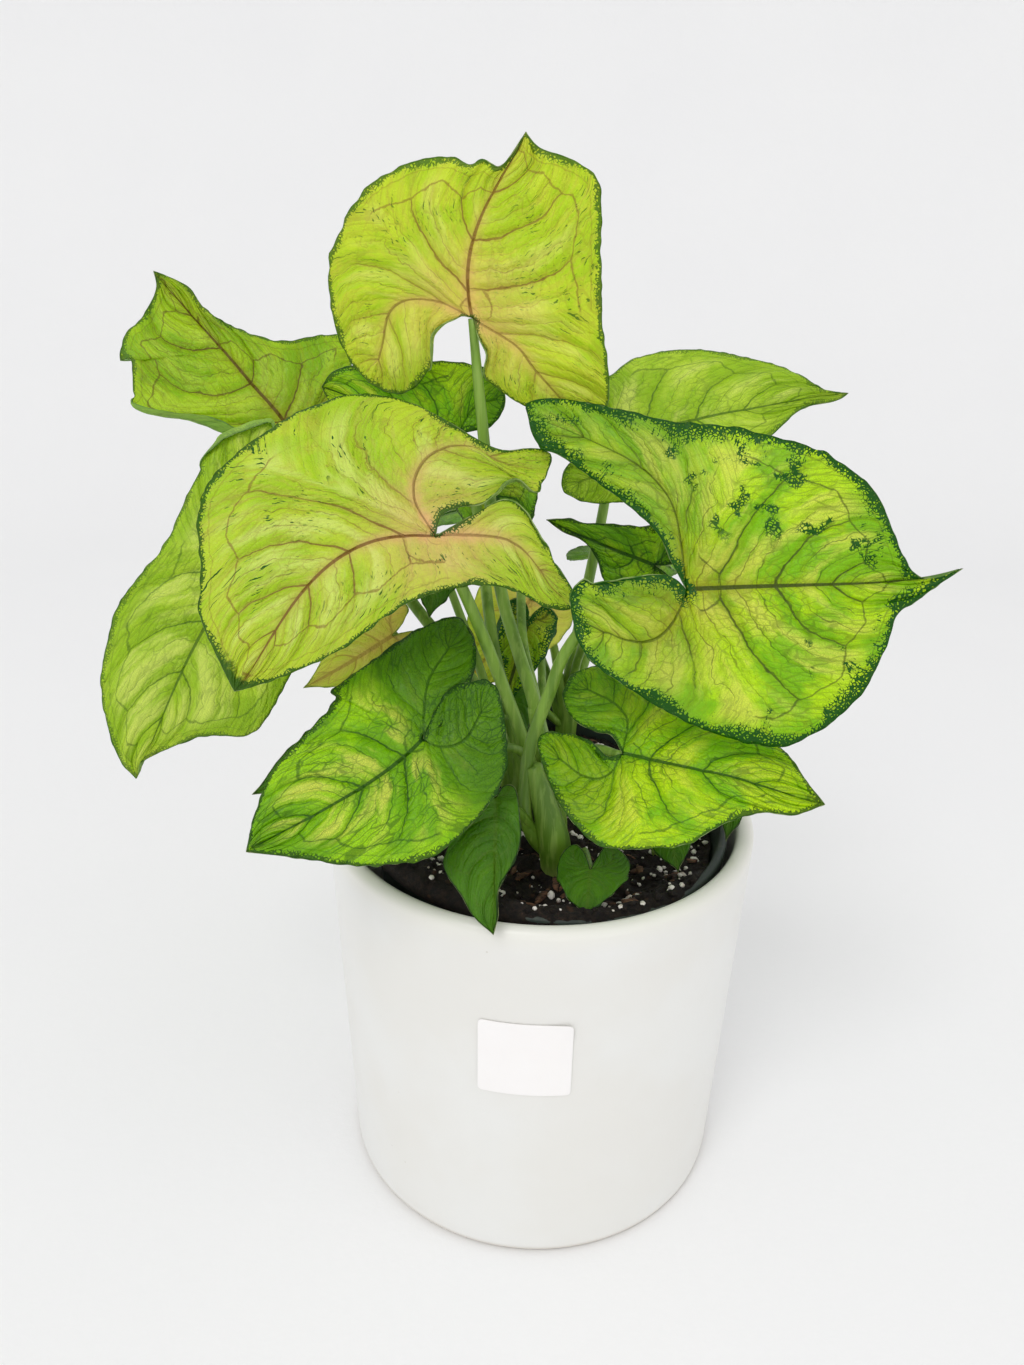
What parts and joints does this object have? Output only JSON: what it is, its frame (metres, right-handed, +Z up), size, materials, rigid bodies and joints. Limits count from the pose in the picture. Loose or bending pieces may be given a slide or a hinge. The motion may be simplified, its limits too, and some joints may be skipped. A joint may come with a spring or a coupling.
{
  "type": "potted arrowhead plant",
  "caption": "Leafy arrowhead houseplant on arching stalks, in a tilted nursery pot of soil that stands in a round white ceramic outer pot with a blank label.",
  "frame": {"origin": "centre of the outer pot's base, at the bottom", "axes": "+Z up; the paper label is on the -Y side, which faces the camera of the picture; +X is to the right of the picture"},
  "size_m": [0.2037, 0.1551, 0.283],
  "materials": {
    "cachepot": "satin white glaze, slightly creamy at the lip",
    "label": "matte white paper, blank",
    "nursery_pot": "dark grey-green satin plastic",
    "soil": "damp dark potting mix with white perlite",
    "stems": "smooth satin green",
    "lime_leaves": "satin lime blade, pinkish veins, dark green margin and speckles",
    "green_leaves": "satin green blade with a darker net of veins",
    "dark_leaves": "satin dark green blade",
    "pale_leaves": "satin pale yellow-green blade with a pink blush"
  },
  "bodies": {
    "root": {"cachepot": "cachepot", "label": "label", "nursery_pot": "nursery_pot", "soil": "soil", "stem_front": "stems", "stem_left": "stems", "stem_back": "stems", "stem_heart": "stems", "stem_soil_right": "stems", "stem_rim_right": "stems", "leaf_top": "lime_leaves", "leaf_upper_left": "lime_leaves", "leaf_mid_left": "lime_leaves", "leaf_right": "lime_leaves", "leaf_far_left": "green_leaves", "leaf_front_left": "green_leaves", "leaf_right_low": "green_leaves", "leaf_back_right": "green_leaves", "leaf_back_mid": "green_leaves", "leaf_mottled": "green_leaves", "leaf_heart": "green_leaves", "leaf_rim_right": "green_leaves", "leaf_rear_left": "green_leaves", "leaf_rear_right": "green_leaves", "leaf_inner": "dark_leaves", "leaf_behind_right": "dark_leaves", "leaf_dark": "dark_leaves", "leaf_low_middle": "dark_leaves", "leaf_low_left": "dark_leaves", "leaf_soil_left": "dark_leaves", "leaf_soil_right": "dark_leaves", "leaf_pale": "pale_leaves", "leaf_blush": "pale_leaves"}
  },
  "joints": []
}
